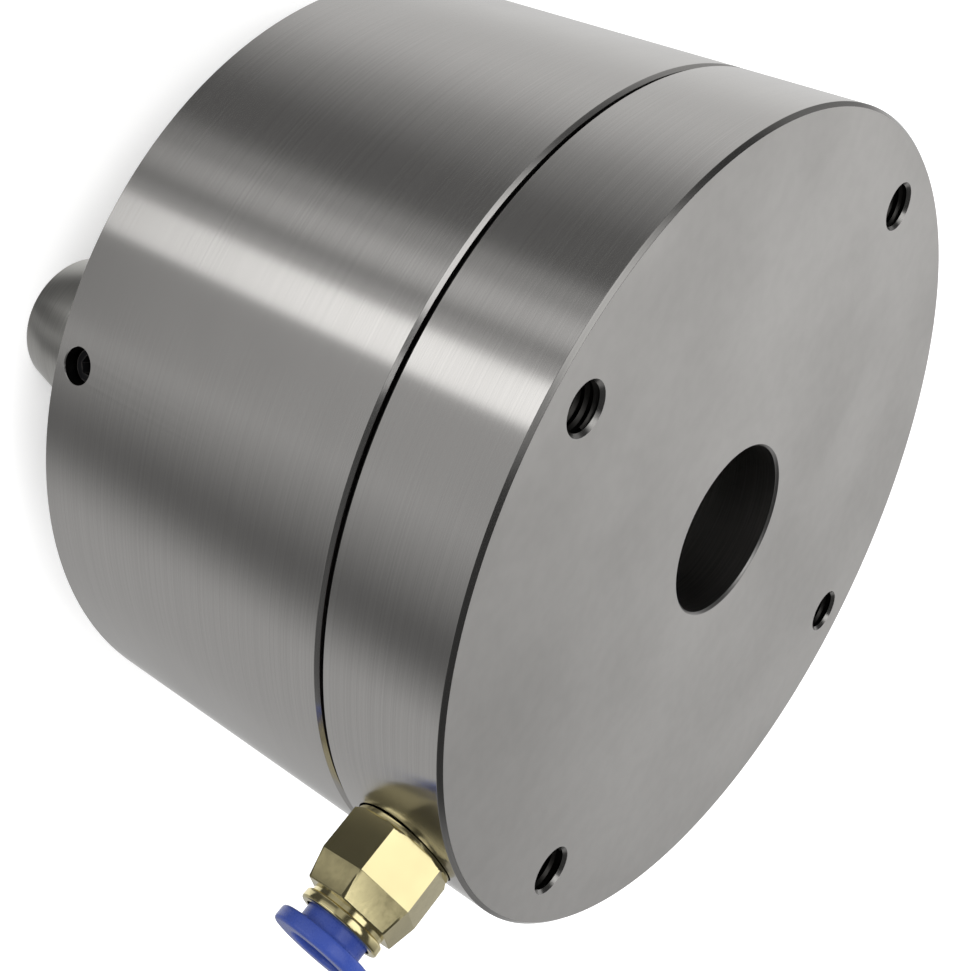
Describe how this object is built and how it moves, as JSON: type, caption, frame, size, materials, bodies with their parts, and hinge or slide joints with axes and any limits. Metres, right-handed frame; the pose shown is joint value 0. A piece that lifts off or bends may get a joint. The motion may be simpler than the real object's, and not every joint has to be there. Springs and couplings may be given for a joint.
{
  "type": "edm chuck",
  "caption": "Round pneumatic ball-lock chuck for spark erosion electrodes, with centring prisms, support pillars, a through bore and a side air fitting.",
  "frame": {"origin": "on the chuck axis, in the plane of the support pillars' tips, on which the chuck stands", "axes": "+Z along the chuck axis, out of the base face; +X along the air fitting, away from the wall"},
  "size_m": [0.114, 0.1, 0.071],
  "materials": {
    "ground_steel": "ground",
    "hardened_steel": "hardened and ground",
    "ball_steel": "polished",
    "spring_steel": "drawn wire",
    "black_screw": "black oxide",
    "brass": "turned, bright",
    "blue_plastic": "moulded",
    "black_rubber": "moulded"
  },
  "bodies": {
    "chuck": {"housing": "ground_steel", "base_disc": "ground_steel", "ball_cage": "hardened_steel", "base_seal": "black_rubber", "cage_seal": "black_rubber", "base_screw_1": "black_screw", "base_screw_2": "black_screw", "base_screw_3": "black_screw", "base_screw_4": "black_screw", "support_pillar_1": "hardened_steel", "support_pillar_2": "hardened_steel", "support_pillar_3": "hardened_steel", "support_pillar_4": "hardened_steel", "side_screw_1": "black_screw", "side_screw_2": "black_screw", "side_screw_3": "black_screw", "side_screw_4": "black_screw", "centring_prism_1": "hardened_steel", "centring_prism_2": "hardened_steel", "centring_prism_3": "hardened_steel", "centring_prism_4": "hardened_steel", "prism_screw_1": "black_screw", "prism_screw_2": "black_screw", "prism_screw_3": "black_screw", "prism_screw_4": "black_screw", "clamp_spring_1": "spring_steel", "clamp_spring_2": "spring_steel", "clamp_spring_3": "spring_steel", "clamp_spring_4": "spring_steel", "clamp_spring_5": "spring_steel", "clamp_spring_6": "spring_steel", "clamp_spring_7": "spring_steel", "clamp_spring_8": "spring_steel", "fitting_body": "brass", "fitting_gasket": "black_rubber", "tube_seal": "black_rubber", "grip_ring": "spring_steel"},
    "piston": {"piston": "hardened_steel", "piston_outer_seal": "black_rubber", "piston_inner_seal": "black_rubber"},
    "ball_1": {"lock_ball_1": "ball_steel"},
    "ball_2": {"lock_ball_2": "ball_steel"},
    "ball_3": {"lock_ball_3": "ball_steel"},
    "ball_4": {"lock_ball_4": "ball_steel"},
    "ball_5": {"lock_ball_5": "ball_steel"},
    "ball_6": {"lock_ball_6": "ball_steel"},
    "collar": {"release_collar": "blue_plastic"}
  },
  "joints": [
    {"name": "piston_slide", "type": "slide", "parent": "chuck", "child": "piston", "axis": [0, 0, -1], "range_m": [0, 0.00416], "stiffness_N_per_m": 8000, "springref_m": -0.004, "deforming": ["clamp_spring_1", "clamp_spring_2", "clamp_spring_3", "clamp_spring_4", "clamp_spring_5", "clamp_spring_6", "clamp_spring_7", "clamp_spring_8"]},
    {"name": "ball_1_slide", "type": "slide", "parent": "chuck", "child": "ball_1", "axis": [1, 0, 0], "range_m": [0, 0.0024]},
    {"name": "ball_2_slide", "type": "slide", "parent": "chuck", "child": "ball_2", "axis": [0.5, 0.866, 0], "range_m": [0, 0.0024]},
    {"name": "ball_3_slide", "type": "slide", "parent": "chuck", "child": "ball_3", "axis": [-0.5, 0.866, 0], "range_m": [0, 0.0024]},
    {"name": "ball_4_slide", "type": "slide", "parent": "chuck", "child": "ball_4", "axis": [-1, 0, 0], "range_m": [0, 0.0024]},
    {"name": "ball_5_slide", "type": "slide", "parent": "chuck", "child": "ball_5", "axis": [-0.5, -0.866, 0], "range_m": [0, 0.0024]},
    {"name": "ball_6_slide", "type": "slide", "parent": "chuck", "child": "ball_6", "axis": [0.5, -0.866, 0], "range_m": [0, 0.0024]},
    {"name": "collar_slide", "type": "slide", "parent": "chuck", "child": "collar", "axis": [-1, 0, 0], "range_m": [0, 0.0012], "stiffness_N_per_m": 400, "springref_m": -0.001}
  ],
  "couplings": [
    {"joint": "ball_1_slide", "follows": "piston_slide", "ratio": 0.57735},
    {"joint": "ball_2_slide", "follows": "piston_slide", "ratio": 0.57735},
    {"joint": "ball_3_slide", "follows": "piston_slide", "ratio": 0.57735},
    {"joint": "ball_4_slide", "follows": "piston_slide", "ratio": 0.57735},
    {"joint": "ball_5_slide", "follows": "piston_slide", "ratio": 0.57735},
    {"joint": "ball_6_slide", "follows": "piston_slide", "ratio": 0.57735}
  ]
}
